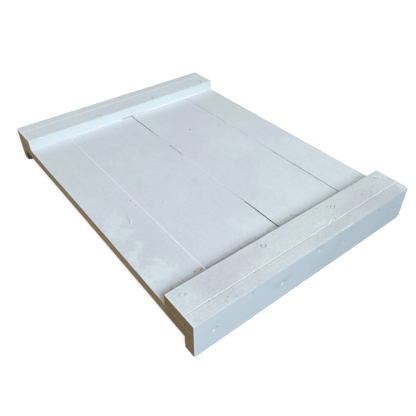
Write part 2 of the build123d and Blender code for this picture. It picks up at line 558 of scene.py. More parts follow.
def paint_colour(
    g, place, facing, tops, sides, streak=0.2, right_end_shade=0.0, dust=0.25, flecks=0.0, shoulder=0.35, mottled=0.045,
):
    """Brushed exterior paint: cloudy tint, mottling, streaks along the grain, dust on what faces up.

    The tops' tint begins where a surface faces up by more than the shoulder; below it lies the sides' tint,
    painted light and shade. The tops darken toward the right end as painted shade, by the given share.
    Returns the colour and the brush marks."""
    drift = g.ragged(g.attribute("pale"), place, 13.0, 2.6)
    clouds = g.mix(g.band(drift, -0.36, 0.36), *tops)
    clouds = g.mix(g.attribute("old_paint_and_darker_wood"), clouds, PAINT_OLD)
    rightward = g.band(g.split(place)[0], left_x, right_x)
    # Painted shade: the tops darken toward the right end.
    clouds = g.mix(g.times(g.math("POWER", rightward, 2.0), right_end_shade), clouds, PAINT_RIGHT_SHADE)
    patchy = g.band(g.noise(place, 17.0), 0.45, 0.7, 0.0, 0.1)
    upright = g.mix(patchy, g.mix(rightward, *sides), PAINT_FRESH)
    level = g.band(g.split(facing)[2], shoulder, 0.35 + shoulder)
    colour = g.tint(g.attribute("dull_and_shade"), g.mix(level, upright, clouds), DULLING_AND_SHADE)
    mottle = g.math("ADD", g.noise(place, 900.0, 2.0), g.noise(place, 260.0, 2.0))
    colour = g.tint(level, colour, g.band(mottle, 0.7, 1.3, 1 + mottled, 1 - mottled))
    streaks = g.noise(g.stretch(place, 0.012), 420.0, 4.0, 0.6)
    brushed = g.scaled(level, 0.8, 0.2)
    lean = g.band(streaks, 0.45, 0.8, 0.0, streak)
    rich = g.band(streaks, 0.5, 0.25, 0.0, streak * 0.5)
    colour = g.mix(g.times(lean, brushed), colour, DUST)
    colour = g.mix(g.times(rich, brushed), colour, PAINT_THICK_AND_HIGHLIGHT)
    dusty = g.band(g.noise(g.stretch(place, 0.6), 110.0, 5.0, 0.75), 0.48, 0.75, 0.0, dust)
    fleck = g.band(g.noise(g.stretch(place, 0.35), 380.0, 3.0, 0.65), 0.52, 0.72, 0.0, flecks)
    colour = g.mix(g.times(g.math("MAXIMUM", dusty, fleck), level), colour, DUST)
    return weathered(g, place, colour), streaks


def weathered(g, place, colour):
    """Paint as time has left it: fresh patches, stains, heavily painted edges, specks and grime, with
    painted highlights and painted shade.
    """
    fresh = g.attribute("fresh")
    patch = g.ragged(g.ragged(fresh, place, 95.0, 1.3), place, 330.0, 0.8)
    patch = g.times(g.band(patch, 0.36, 0.54, 0.0, 0.66), g.band(fresh, 0.08, 0.3))
    colour = g.mix(patch, colour, PAINT_FRESH)
    stain_and_shade = g.ragged(g.attribute("stain_and_shade"), place, 130.0, 0.9)
    colour = g.mix(g.band(stain_and_shade, 0.3, 0.8, 0.0, 0.6), colour, STAIN_AND_SHADE)
    tide = g.ragged(g.attribute("tide"), place, 260.0, 0.14)
    broken = g.band(g.noise(place, 120.0, 4.0), 0.3, 0.7, 0.5, 1.2)
    depth = g.times(g.band(tide, 0.5, 0.75, 0.44, 0.14), broken)
    colour = g.mix(g.times(g.band(tide, 0.45, 0.55), depth), colour, STAIN_AND_SHADE)
    colour = g.mix(g.times(g.attribute("edge"), 0.7), colour, PAINT_THICK_AND_HIGHLIGHT)
    cells = g.node("TexVoronoi", {"Vector": place, "Scale": 85.0}).outputs
    size = g.band(g.split(cells["Color"])[0], 0.7, 1.0, 0.0, 0.07)
    speck = g.math("LESS_THAN", cells["Distance"], size)
    colour = g.mix(g.times(speck, 0.35), colour, GRIME_AND_SHADE)
    dirt = g.times(g.attribute("dirt"), g.band(g.noise(place, 220.0, 2.0), 0.3, 0.55, 0.5, 1.0))
    return g.mix(g.times(dirt, 0.8), colour, GRIME_AND_SHADE)


def timber_material(name, along_y, pith, **look):
    """Pine under paint. Its paint value says where it is covered, flake and thin where that has come off."""
    g = Graph(bpy.data.materials.new(name))
    place = g.grain_space(along_y, g.node("TexCoord").outputs["Object"])
    facing = g.grain_space(along_y, g.node("NewGeometry").outputs["Normal"])
    wood, wood_height = wood_colour(g, place, facing, pith)
    paint, brush = paint_colour(g, place, facing, **look)
    cover = g.band(g.ragged(g.attribute("paint"), place, 420.0, 0.5), 0.45, 0.55)
    crumbs = g.stretch(place, across=0.45) if along_y else place
    flake = g.band(g.ragged(g.attribute("flake"), crumbs, 750.0, 2.4), 0.62, 0.8)
    cover = g.times(cover, g.rest(flake))
    thin = g.times(g.attribute("thin"), g.band(g.noise(crumbs, 350.0), 0.3, 0.7, 0.4, 1.0))
    cover = g.times(cover, g.rest(thin))
    bare = g.rest(cover)
    rough = g.scaled(bare, 0.25, g.band(brush, 0.2, 0.8, 0.46, 0.62))
    height = g.scaled(brush, 0.3, g.times(cover, 0.9))
    height = g.scaled(g.times(wood_height, bare), 0.4, height)
    return g.surface(g.mix(cover, wood, paint), rough, height, distance=0.3 * MM, strength=0.6)


def nail_material():
    """Galvanised steel with paint over the head, worn through in flecks."""
    g = Graph(bpy.data.materials.new("painted_nail"))
    place = g.node("TexCoord").outputs["Object"]
    facing = g.node("NewGeometry").outputs["Normal"]
    spangle = g.node("TexVoronoi", {"Vector": place, "Scale": 1400.0}).outputs["Color"]
    rust = g.band(g.noise(place, 900.0), 0.56, 0.66)
    steel = g.mix(rust, g.mix(0.25, ZINC, spangle, "SOFT_LIGHT"), RUST)
    look = {"tops": CLEAT_TOPS["front"], "sides": FASCIA_SIDES_SHADED, "streak": 0.3, "right_end_shade": 0.25, "dust": 0.1}
    paint = paint_colour(g, place, facing, **look)[0]
    cover = g.band(g.ragged(g.attribute("paint"), place, 800.0, 0.9), 0.4, 0.5)
    bare = g.times(g.rest(cover), g.rest(rust))
    rough = g.band(cover, 0.0, 1.0, 0.42, 0.52)
    height = g.noise(place, 1500.0)
    colour = g.mix(cover, steel, paint)
    return g.surface(colour, rough, height, distance=0.1 * MM, strength=0.5, metallic=bare)


def nib_material():
    """Specks caught in the paint: dark, brown, pale or of resin by their tone."""
    g = Graph(bpy.data.materials.new("paint_nib"))
    place = g.node("TexCoord").outputs["Object"]
    tone = g.attribute("tone")
    colour = g.mix(g.band(tone, 0.2, 0.4), SPECK_DARK, SPECK_BROWN)
    colour = g.mix(g.band(tone, 0.6, 0.8), colour, PAINT_THICK_AND_HIGHLIGHT)
    colour = g.mix(g.band(tone, 1.3, 1.6), colour, RESIN)
    colour = g.mix(g.band(g.noise(place, 1200.0), 0.3, 0.7, 0.0, 0.4), colour, DUST)
    return g.finish(g.node("BsdfPrincipled", {"Base Color": colour, "Roughness": 0.7}))


# Deck boards: tables in mm

OPEN_JOINTS = [  # per joint: y, how far each board has drawn back
    [(0, 0.0)],
    [
        (-260, 1.15), (-190, 1.05), (-150, 0.8), (-130, 0.3), (-112, 0.0), (125, 0.0), (150, 0.3),
        (218, 0.6),
    ],
    [(-260, 0.25), (-58, 0.15), (-50, 0.0)],
]
LEFT_CROOK = [  # how the left edge bows in: y, depth
    (-216, 0.0), (-130, 0.5), (-75, 0.9), (0, 0.95), (60, 0.6), (110, 0.25), (150, 0.0),
]
EDGE_DARKENING = [  # how much darker the bare long edges are: y, strength
    (-203, 1.0), (-192, 0.55), (-150, 0.36), (-75, 0.15), (0, 0.05), (85, 0.13), (165, 0.33), (256, 0.4),
]
FOOT_GRIME_AND_SHADE = [  # dirt and painted shade on the deck along the front batten: x, strength
    (-195, 0.0), (-170, 0.15), (-140, 0.3), (-110, 0.4), (-60, 0.4), (-30, 0.15), (10, 0.25), (40, 0.3),
    (80, 0.1),
]
FOOT_STAIN_AND_SHADE = [  # and the olive stain and painted shade there: x, strength
    (-206, 0.25), (-185, 0.35), (-165, 0.52), (-60, 0.52), (20, 0.48), (70, 0.2), (110, 0.0),
]
TIDE = [  # a tide mark there: x, how far it reaches from the batten's foot
    (-134, 14), (-130, 18.8), (-118, 21.8), (-80, 21.2), (-52, 22), (-38, 21), (-36, 16.2), (-30, 17.5),
    (-20, 17.5), (-14, 21), (-2, 21.4), (1, 14), (4, 18.5), (12, 21.2), (36, 22), (38.5, 16.5), (60, 14),
    (105, 14), (134, 16), (137, 14),
]
TIDE_SCALE = 20.0 * MM
# Paint gathered at the rear batten, and painted light: the deck whitens toward it as if lit from its face.
GATHERED_PAINT_AND_BOUNCE = [(-206, 0.45), (-60, 0.5), (0, 0.66), (140, 0.66), (206, 0.5)]  # white at the rear batten, by x
# Patches of each kind: x, y, half width, half length, strength
FRESH_SPOTS = [
    (-181, -44, 13, 17, 0.9), (-178, -76, 11, 9, 0.75), (-177, -110, 7, 9, 0.7), (-186, -120, 9, 8, 0.65),
    (-198, -128, 6, 16, 0.7), (-194, -68, 9, 24, 0.75), (-202, -165, 5, 35, 0.6),
    (-182, -168, 28, 26, 0.62), (-197, 48, 6, 9, 0.45), (-200, 8, 5, 18, 0.5), (150, -105, 12, 14, 0.5),
]
FLAKE_SPOTS = [(-140, -196, 9, 3.2, 0.55), (-204, -213, 4, 6, 0.95)]
THIN_SPOTS = [
    (-203, -208, 6, 9, 0.9), (-195, -202, 8, 5, 0.6), (-186, -199, 11, 4, 0.5),
    (-170, -198.5, 13, 3.2, 0.42), (-142, -197, 10, 3.5, 0.25),
]
STAIN_SPOTS = [
    (-36, -199, 3, 2, 0.6), (118, 80, 3.5, 8, 0.55), (31, -193, 6, 2, 0.7), (186, -194, 6, 1.9, 0.7),
    (194, -197, 6, 2.1, 0.85),
]
PALE_AREAS = [
    (170, -130, 50, 75, 0.9), (95, -160, 45, 65, 0.9), (20, -175, 35, 35, 0.6), (-30, -175, 40, 25, 0.4),
    (-180, -170, 25, 25, 0.3),
]
COOLNESS = 0.32  # how cool the paint is between them
DULL_AREAS = [
    (-170, -125, 42, 55, 0.3), (-70, 110, 60, 45, 0.12), (40, 145, 60, 25, 0.08), (30, -150, 28, 26, 0.14),
    (-102, 19, 8, 11, 0.26), (-29, -41, 8, 10, 0.24), (60, -140, 120, 45, 0.05),
]
OLD_AREAS = [(-188, 125, 35, 85, 0.85), (182, 140, 35, 70, 0.95)]
# The two patches by the front batten's ends are painted light, lifting the batten's shadow on the deck.
BRIGHT_AREAS = [
    (150, 45, 60, 70, 0.16), (0, -40, 60, 60, 0.08), (193, -202, 15, 4, 0.8), (-203, -211, 6, 7, 0.5),
]
BOARD_PITHS = [(-0.030, -0.020), (0.020, -0.050), (-0.015, -0.030), (0.030, -0.040)]
BOARD_WEAR = 0.14 * MM
BOARD_ARRIS_WEAR = 0.25 * MM
RIM_WIDTH = 22 * MM  # of the hive body's rim, where propolis sticks to the underside
DECK_LOOK = {"tops": DECK_TOPS, "sides": BATTEN_SIDES_LIT}


def board_outline(low, high, first, last):
    """Outline of a deck board: a groove on its -X edge and a tongue on its +X edge, next to a neighbour."""
    left, right = low[0], high[0] - (0 if last else TONGUE_LENGTH)
    tongue, groove = [], []
    if not last:
        tip = right + TONGUE_LENGTH
        low_z, high_z = deck_mid - TONGUE_HALF, deck_mid + TONGUE_HALF
        tongue = [(right, low_z), (tip, low_z), (tip, high_z), (right, high_z)]
    if not first:
        back = left + TONGUE_LENGTH
        low_z, high_z = deck_mid - GROOVE_HALF, deck_mid + GROOVE_HALF
        groove = [(left, high_z), (back, high_z), (back, low_z), (left, low_z)]
    corners = [(left, deck_low, BOARD_ARRIS, UNDERSIDE_STEP), (right, deck_low, BOARD_ARRIS, BOARD_STEP)]
    corners += [(a, b, 0, BOARD_STEP) for a, b in tongue]
    corners.append((right, deck_top, OUTER_ARRIS if last else BOARD_ARRIS, BOARD_STEP))
    corners.append((left, deck_top, OUTER_ARRIS if first else BOARD_ARRIS, BOARD_STEP))
    corners += [(a, b, 0, BOARD_STEP) for a, b in groove]
    return outline(corners)


def make_board(index):
    """One deck board, cupped and worn, painted on top and a little way down its joints."""
    low, high = board_boxes[index]
    first, last = index == 0, index == len(BOARDS) - 1
    bar = Bar(board_outline(low, high, first, last), stations(low[1], high[1], BOARD_STEP), order=ALONG_Y)
    points = bar.points
    x, y, z = points.T
    facing_x, _, facing_z = bar.normals.T
    wear = BOARD_WEAR * (1 + ripple(points, (0.05, 0.25, 0.05), index + 1))
    chafed = np.clip(ripple(points, (0.01, 0.02, 0.01), index + 9) + 0.3, 0, 1)
    wear += bar.arris * BOARD_ARRIS_WEAR * chafed
    in_joint = np.zeros(len(points))
    for joint, side in ((index - 1, -1), (index, 1)):
        if 0 <= joint < len(joints):
            toward = smooth(facing_x * side, 0.2, 0.9)
            wear += toward * read(OPEN_JOINTS[joint], y) * MM
            in_joint = np.maximum(in_joint, toward)
    if first:
        wear += smooth(-facing_x, 0.2, 0.9) * read(LEFT_CROOK, y) * MM
    bar.sink(wear)
    depth = deck_top - z
    to_rear = batten_foot["rear"] - y
    from_front = y - batten_foot["front"]
    on_top = smooth(facing_z, 0.3, 0.7)
    outer_edge = (abs(facing_x) > 0.7) * (1 - in_joint)
    on_rim = (abs(x) > right_x - RIM_WIDTH) | (abs(y) > high[1] - RIM_WIDTH)
    painted = np.maximum(on_top, in_joint * fall(depth, 1.0, 3.0))
    # White along the arrises: thick paint, and painted highlight.
    bright = np.maximum(blots(points, BRIGHT_AREAS), bar.arris * np.where(painted > 0.5, 0.9, 0.4))
    if first:
        painted = np.maximum(painted, (facing_x < -0.1) * fall(depth, 0.2, 0.9))
        # A white line along the deck's left edge: paint lapped over the arris, brightened further as a
        # painted highlight.
        line = fall(x - left_x, 1.2, 1.8) * (0.35 + 0.65 * rise(y, -180, -60))
        bright = np.maximum(bright, line * (1.3 * bar.arris + 1.1 * on_top))
    if last:
        painted = painted * (1 - smooth(facing_x, 0.3, 0.6))
    values = {
        "paint": painted * rise(np.minimum(from_front, to_rear), -3, 0),
        "edge": np.maximum(bright, read(GATHERED_PAINT_AND_BOUNCE, x) * on_top * fall(to_rear, 0, 40)),
        "pale": blots(points, PALE_AREAS) - COOLNESS,
        "dull_and_shade": blots(points, DULL_AREAS),
        "old_paint_and_darker_wood": np.maximum(blots(points, OLD_AREAS) * on_top, outer_edge * read(EDGE_DARKENING, y)),
        "fresh": blots(points, FRESH_SPOTS) * on_top,
        "flake": blots(points, FLAKE_SPOTS) * on_top,
        "thin": blots(points, THIN_SPOTS) * on_top,
        "stain_and_shade": on_top * np.maximum(
            blots(points, STAIN_SPOTS), read(FOOT_STAIN_AND_SHADE, x) * fall(from_front, 15, 24),
        ),
        "tide": np.clip(0.5 + (read(TIDE, x) * MM - from_front) / TIDE_SCALE, 0, 1) * on_top,
        "propolis_and_shade": 0.5 * on_rim * (facing_z < -0.7),
        "dirt": np.maximum.reduce([
            in_joint * rise(depth, 0.4, 1.6),
            # Darker just below the long edges' arris, and along the edges toward the front batten.
            outer_edge * 0.7 * rise(depth, 0.6, 1.2) * fall(depth, 2.5, 6.0),
            outer_edge * 0.28 * fall(from_front, 0, 16),
            on_top * read(FOOT_GRIME_AND_SHADE, x) * fall(from_front, 14.5, 17.5),
        ]),
    }
    shift, below = BOARD_PITHS[index]
    pith = ((low[0] + high[0]) / 2 + shift, deck_low + below)
    material = timber_material(f"painted_board_{index + 1}", True, pith, streak=0.07, **DECK_LOOK)
    piece = make_object(BOARDS[index] + "_skin", bar.points, bar.faces, values, material)
    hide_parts(BOARDS[index])


# Cleats: tables in mm

CHIP = [  # a chip in the front batten's top: x, reach back from the seam
    (41.5, 0.0), (44.0, 0.8), (48.5, 2.3), (52.5, 4.0), (55.6, 4.9), (57.2, 4.0), (58.6, 1.6), (60.5, 0.0),
]
KNOCKS = {  # corners knocked round: which way the corner lies, reach and depth
    "front_fascia": [((1, -1, 1), 4.5, 1.6), ((1, -1, -1), 5.0, 1.2), ((-1, -1, -1), 4.0, 0.5)],
    "rear_fascia": [
        ((1, 1, 1), 4.0, 0.6), ((-1, 1, 1), 4.0, 0.7), ((-1, 1, -1), 4.0, 0.6), ((-1, -1, -1), 6.0, 2.0),
    ],
}
SCORE = [(-4, 13.2), (19, 12.4), (40, 15.8)]  # a scored line on the front fascia: x, height
SCORE_HALF = 2.2
# Patches on the tops: x, y, half width, half length, strength
STRIP_STAINS = [
    (178, -266, 16, 5, 0.46), (-148, -268, 12, 4, 0.35), (-110, -262, 14, 4, 0.3), (20, -266, 16, 4, 0.3),
]
CLEAT_FRESH = [(40, -247, 15, 5, 0.6), (192, -232, 16, 12, 0.5), (200, -267, 6, 8, 0.75)]
CLEAT_PALE = [
    (-48, -250, 38, 20, 0.5), (114, -228, 24, 14, 0.5), (190, -245, 25, 30, 0.4), (-50, -266, 45, 8, 0.5),
    (-112, -250, 17, 14, 0.5), (-170, 245, 70, 40, 0.4),
]
CLEAT_COOL = [(-150, -238, 21, 22, 0.75), (-80, -232, 22, 10, 0.4)]
CLEAT_DULL = [
    (-152, -246, 20, 20, 0.2), (45, -266, 40, 9, 0.42), (145, -258, 50, 18, 0.2), (76, -250, 26, 14, 0.12),
]
FACE_SMEARS = [  # on the front fascia's face, by x and z
    (-68, 34.5, 11, 5, 0.55), (-56, 36, 7, 4, 0.5), (7, 53.5, 6, 3.5, 0.6), (-2, 58, 4, 2, 0.5),
]
GLINTS = [  # along the front fascia's top arris: x, strength
    (46, 0.0), (50, 1.0), (68, 1.0), (74, 0.0), (180, 0.0), (190, 0.6), (206, 0.9),
]
END_WRAP = {"front": 0.0, "rear": 1.0}  # how far the paint laps on to the sawn ends
CLEAT_WEAR = 0.10 * MM
CLEAT_ARRIS_WEAR = 0.3 * MM
TOP_WEAR = 0.22 * MM
CHIP_DEPTH = 0.35 * MM
SCORE_DEPTH = 0.3 * MM
CLEAT_PITH = (0.012, -0.03)  # outward from the middle, and up from the foot
BATTEN_LOOK = {"sides": BATTEN_SIDES_LIT, "streak": 0.16, "flecks": 0.12}
FASCIA_LOOK = {"sides": FASCIA_SIDES_SHADED, "streak": 0.35, "shoulder": 0.45}
CLEAT_LOOKS = {
    "front_batten": BATTEN_LOOK | {"right_end_shade": 0.25, "mottled": 0.07},
    "rear_batten": BATTEN_LOOK,
    "front_fascia": FASCIA_LOOK | {"right_end_shade": 0.5, "dust": 0.4, "flecks": 0.4, "mottled": 0.085},
    "rear_fascia": FASCIA_LOOK | {"right_end_shade": 0.1, "dust": 0.15, "flecks": 0.15},
}


def bar_outline(low, high, marks):
    """Outline of a planed bar across the cover."""
    corners = [(low[1], low[2]), (high[1], low[2]), (high[1], high[2]), (low[1], high[2])]
    return outline([(a, b, CLEAT_ARRIS, CLEAT_STEP) for a, b in corners], marks)


def knock(points, low, high, knocks):
    """Rounds off corners by drawing nearby points in toward the timber."""
    for way, reach, depth in knocks:
        corner = np.where(np.array(way) > 0, high, low)
        away = np.linalg.norm(points - corner, axis=1) / (reach * MM)
        pull = depth * MM * np.clip(1 - away, 0, 1) ** 1.2
        points = points - pull[:, None] * unit(np.array(way))
    return points


def cleat_wear(node, end, bar):
    """How far a cleat's skin has worn back: planing waves, soft arrises, a low top, a chip or a score."""
    points = bar.points
    _, facing_y, facing_z = bar.normals.T
    seed = len(node) + 3 * end
    wear = CLEAT_WEAR * (1 + ripple(points, (0.18, 0.04, 0.04), seed))
    chafed = np.clip(ripple(points, (0.018, 0.01, 0.01), seed + 5) + 0.25, 0, 1)
    wear += bar.arris * CLEAT_ARRIS_WEAR * chafed
    wear += TOP_WEAR * smooth(facing_z, 0.5, 0.95)
    if node == "front_batten":
        reach = read(CHIP, points[:, 0])
        back = points[:, 1] / MM - seam_y["front"] / MM
        wear += CHIP_DEPTH * smooth(reach - back, 0.0, 1.2) * (reach > 0.1) * (facing_z > 0.3)
    if node == "front_fascia":
        wear += SCORE_DEPTH * score_depth(points) * (facing_y < -0.7)
    return wear + bar.sunk


def score_depth(points):
    """How deep each point is in the scored line, from 0 to 1."""
    x, _, z = points.T / MM
    start, stop = SCORE[0][0], SCORE[-1][0]
    inside = smooth(x, start - 5, start + 4) * (1 - smooth(x, stop - 4, stop + 5))
    return inside * np.clip(1 - ((z - read(SCORE, points[:, 0])) / SCORE_HALF) ** 2, 0, 1)


def nail_pockets(node, surface, outward):
    """Pockets for a row of nails: place along X, spot on a surface, the way that faces, marks."""
    pockets = []
    for (low, high), marks in zip(nail_places(node), nail_marks(node)):
        x, *spot = (low + high) / 2
        pockets.append((x, np.where(outward, surface, spot), np.array(outward), marks))
    return pockets


def make_batten(side, end):
    """The strip on top of the deck, with pockets for the nails down through it."""
    pockets = nail_pockets(f"{side}_batten_nails", cover_top, (0, 1))
    make_cleat_bar(f"{side}_batten", side, end, pockets, -end)


def make_fascia(side, end):
    """The full-height board across the deck's ends, with pockets for the nails through it."""
    face = box(f"{side}_fascia")[1 if end > 0 else 0, 1]
    pockets = nail_pockets(f"{side}_fascia_lower_nails", face, (end, 0))
    pockets += nail_pockets(f"{side}_fascia_upper_nails", face, (end, 0))
    make_cleat_bar(f"{side}_fascia", side, end, pockets, end)


def make_cleat_bar(node, side, end, pockets, weather_side):
    """A batten or a fascia: eased planed pine, painted on its top and its weather side."""
    low, high = box(node)
    low[0] += END_TRIM
    high[0] -= END_TRIM
    shape = bar_outline(low, high, [pocket[1] for pocket in pockets])
    along = stations(low[0], high[0], CLEAT_STEP, [pocket[0] for pocket in pockets])
    bar = Bar(shape, along, pockets, capped=True)
    points = bar.points
    x, y, z = points.T
    _, facing_y, facing_z = bar.normals.T
    bar.sink(cleat_wear(node, end, bar))
    on_top = smooth(facing_z, 0.3, 0.75)
    outer_face = smooth(facing_y * end, 0.3, 0.75)
    inner_face = smooth(-facing_y * end, 0.3, 0.75)
    painted = np.maximum(on_top, smooth(facing_y * weather_side, 0.3, 0.75))
    painted = np.maximum(painted, smooth(z, cover_top - 4 * MM, cover_top - 2 * MM))
    wrap = END_WRAP[side]
    painted = painted * np.clip(1 + wrap - bar.end, 0, 1)
    from_end = np.minimum(x - low[0], high[0] - x)
    # White near the cleats' ends: thick paint on the arrises, and painted highlight.
    thick_paint_and_highlight = (0.4 + 0.5 * wrap) * fall(from_end, 1.2, 3.2) * (bar.end < 1.1)
    bright = 0.5 * smooth(ripple(points, (0.025, 0.02, 0.02), 31 + end), 0.15, 0.5)
    rim = (bar.end > 0.9) & (bar.end < 1.5)
    dirt = np.maximum(bar.dirt, rim * (painted < 0.5) * 0.45)
    dull_and_shade = blots(points, CLEAT_DULL)
    lip_shade = lit = np.zeros(len(points))
    if node == "front_batten":
        # Painted highlight along the front batten's back arris.
        lit = smooth(facing_z, 0.6, 0.95) * fall(high[1] - y, 1.0, 2.8) * (0.55 - 0.4 * rise(x, 0, 100))
        # Painted shade on the front batten's back arris, over the deck.
        shadowed = 0.85 - 0.35 * rise(x, 0, 60)
        dirt = np.maximum(dirt, shadowed * bar.arris * inner_face * (z > deck_top + CLEAT_ARRIS))
    if "fascia" in node:
        bright = read(GLINTS, x) if end < 0 else bright * 0.3
        # Painted shade: the inner face of the fascia's lip, under the deck, is darkened almost to black.
        lip_shade = inner_face * (1 - smooth(z, deck_low, deck_low + 1 * MM)) * (bar.end < 0.5)
    if node == "front_fascia":
        # Painted shade on the front fascia's top arris wherever it has no glint, so the arris shows no
        # bright line.
        arris_shade = fall(y - low[1], 1.0, 3.5) * smooth(facing_z, 0.15, 0.6)
        smears = np.maximum(blots(points[:, [0, 2]], FACE_SMEARS), 0.4 * score_depth(points))
        dull_and_shade = np.maximum.reduce([dull_and_shade, 0.36 * (1 - bright) * arris_shade, smears * outer_face])
    if node == "rear_fascia":
        # Darker along the rear fascia's outer top arris.
        dirt = np.maximum(dirt, 0.6 * bar.arris * outer_face * (z > deck_top))
    lapped = 0.4 * wrap * (bar.end > 1.5)
    values = {
        "paint": painted,
        "edge": np.maximum.reduce([
            bar.arris * bright * (bar.end < 0.1), thick_paint_and_highlight * painted, bar.dab, lapped, lit,
        ]),
        "pale": blots(points, CLEAT_PALE) - blots(points, CLEAT_COOL),
        "dull_and_shade": dull_and_shade,
        "fresh": blots(points, CLEAT_FRESH) * on_top * (end < 0),
        "stain_and_shade": blots(points, STRIP_STAINS) * on_top,
        "propolis_and_shade": lip_shade,
        "dirt": dirt,
    }
    bar.points = knock(bar.points, low, high, KNOCKS.get(node, []))
    pith = ((low[1] + high[1]) / 2 + CLEAT_PITH[0] * end, low[2] + CLEAT_PITH[1])
    material = timber_material("painted_" + node, False, pith, tops=CLEAT_TOPS[side], **CLEAT_LOOKS[node])
    piece = make_object(node + "_skin", bar.points, bar.faces, values, material)
    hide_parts(node)


# Nails

NAIL_HEAD = [  # radius and depth down the head in mm, and shares of the dark marks and of the pale dabs
    (0.9, -0.16, 0, 0.2), (2.0, -0.12, 0, 0.8), (2.5, -0.1, 0, 1), (2.95, -0.06, 0.8, 1),
    (3.3, 0.06, 1, 1), (3.5, 0.5, 1, 0), (3.42, 0.95, 1, 0), (3.1, 1.08, 1, 0), (1.3, 1.1, 1, 0),
    (1.25, 1.6, 1, 0),
]
NAIL_POINT = [(1.25, 4.5), (0.6, 1.4), (0.2, 0.2)]  # radius and distance from the tip, mm


def turns(count):
    """Even angles all the way round."""
    return np.linspace(0, 2 * math.pi, count, endpoint=False)


def make_nails(node, inward):
    """A row of nails, each a turned shape with its head set in the paint."""
    inward = np.array(inward, float)
    depth_axis = int(np.argmax(abs(inward)))
    second = np.cross(inward, X_AXIS)
    points, faces = [], []
    paint, strengths = [], []
    for (low, high), marks in zip(nail_places(node), nail_marks(node)):
        centre = (low + high) / 2
        centre[depth_axis] = (low if inward[depth_axis] > 0 else high)[depth_axis]
        length = high[depth_axis] - low[depth_axis]
        rings = [(r * MM, depth * MM, *shares) for r, depth, *shares in NAIL_HEAD]
        rings += [(r * MM, length - rest * MM, 0, 0) for r, rest in NAIL_POINT]
        faces += tube(len(points), len(rings), NAIL_SEGMENTS)
        for radius, depth, *shares in rings:
            for turn in turns(NAIL_SEGMENTS):
                away = (X_AXIS * math.cos(turn) + second * math.sin(turn)) * radius
                points.append(centre + away + inward * depth)
                paint.append(fall(depth, 0.5, 0.9))
                strengths.append(mark_strengths(marks, shares, turn))
    dirt, edge = np.transpose(strengths)
    values = {"paint": paint, "dirt": dirt, "edge": edge}
    piece = make_object(node + "_steel", points, faces, values, nail_steel)
    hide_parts(node)


# Paint in the joints and seams: tables in mm

RIBBON = [  # across and up, as shares of half the width and of the crown; None is down at the root
    (-0.7, None), (-1.0, 0.0), (-0.55, 0.75), (0.0, 1.0), (0.55, 0.75), (1.0, 0.0), (0.7, None),
]


def ribbon(name, centres, side, up, halves, crowns, depth, material, slot, values):
    """A thin run of paint along a line: a crowned strip with a root below it."""
    count, width = len(centres), len(RIBBON)
    points = []
    for centre, half, crown in zip(centres, np.broadcast_to(halves, count), np.broadcast_to(crowns, count)):
        for across, lift in RIBBON:
            height = -depth if lift is None else crown * lift
            points.append(centre + side * half * across + up * height)
    spread = {key: np.repeat(np.broadcast_to(numbers, count), width) for key, numbers in values.items()}
    piece = make_object(name, points, tube(0, count, width), spread, material)


JOINT_FILL = [  # per joint: y, level of the paint against the deck
    [(0, 0.1)],
    [
        (-218, -6), (-138, -5), (-126, -1.4), (-112, -0.95), (-80, -0.72), (-70, -0.4), (30, -0.25),
        (42, -1), (47, -3.5), (74, -3.5), (80, -0.8), (112, -0.8), (135, -1.6), (145, -3), (218, -6),
    ],
    [
        (-218, -5), (-60, -4), (-52, -1.3), (-5, -0.7), (30, -0.85), (75, -0.75), (84, -0.9), (88, -2.4),
        (92, -0.9), (150, -1.1), (218, -0.85),
    ],
]
JOINT_BREAKS = (0.05, 0.15, 0.35)  # how unevenly the paint lies in each joint
ROOT_DEPTH = 0.8 * MM
JOINT_SUNK = 0.2 * MM
JOINT_STOP = 0.2 * MM  # the paint stops this far from the battens


def make_joint_fill(index):
    """Paint lying in the joint between two boards: proud, flush, or run down and gone."""
    start, stop = batten_foot["front"] + JOINT_STOP, batten_foot["rear"] - JOINT_STOP
    ys = np.array(ruled(start, stop, 2.0 * MM))
    places = np.array([(joints[index], y, deck_top) for y in ys])
    level = read(JOINT_FILL[index], ys) * MM
    level += JOINT_BREAKS[index] * MM * ripple(places, (0.01, 0.012, 0.01), index + 3)
    centres = places + np.outer(np.minimum(level, 0) - JOINT_SUNK, Z_AXIS)
    proud = level > 0
    shallow = rise(level, -0.8, -0.1)
    near = smooth(-ys, -0.1, 0.2)
    spilt = np.where(proud, 0.3 + 0.05 * near, 0.25 + 0.2 * near) * MM * shallow
    halves = JOINT_GAP / 2 + read(OPEN_JOINTS[index], ys) * MM + 0.1 * MM + spilt
    crowns = np.where(proud, level + 0.05 * MM, 0.02 * MM)
    values = {
        "paint": 1.0,
        "edge": np.where(proud, 0.85 - 0.1 * near, 0.45 * shallow),
        "dirt": fall(level, -2.0, -0.3),
    }
    name = f"joint_paint_{index + 1}"
    ribbon(name, centres, X_AXIS, Z_AXIS, halves, crowns, ROOT_DEPTH, joint_paint, "painted_board", values)


SEAM_SET_BACK = {  # x, how far the line lies back on the batten
    "front": [(-206, 0.8), (0, 0.55), (100, 0.5)],
    "rear": [(-206, 3.0), (206, 2.8)],
}
SEAM_WHITE = {  # x, how white the line is
    "front": [(-170, 0.47), (-110, 0.67), (30, 0.67), (70, 0.75)],
    "rear": [(0, 0.75)],
}
SEAM_HALF = {"front": 0.62 * MM, "rear": 1.5 * MM}
SEAM_CROWN = 0.24 * MM
SEAM_SUNK = 0.42 * MM
SEAM_STOP = 0.8 * MM  # the lines of paint stop this far from the cleats' ends
SEAM_BREAK = (56.5 * MM, 59.5 * MM)  # the front line stops at the chip and goes on past it


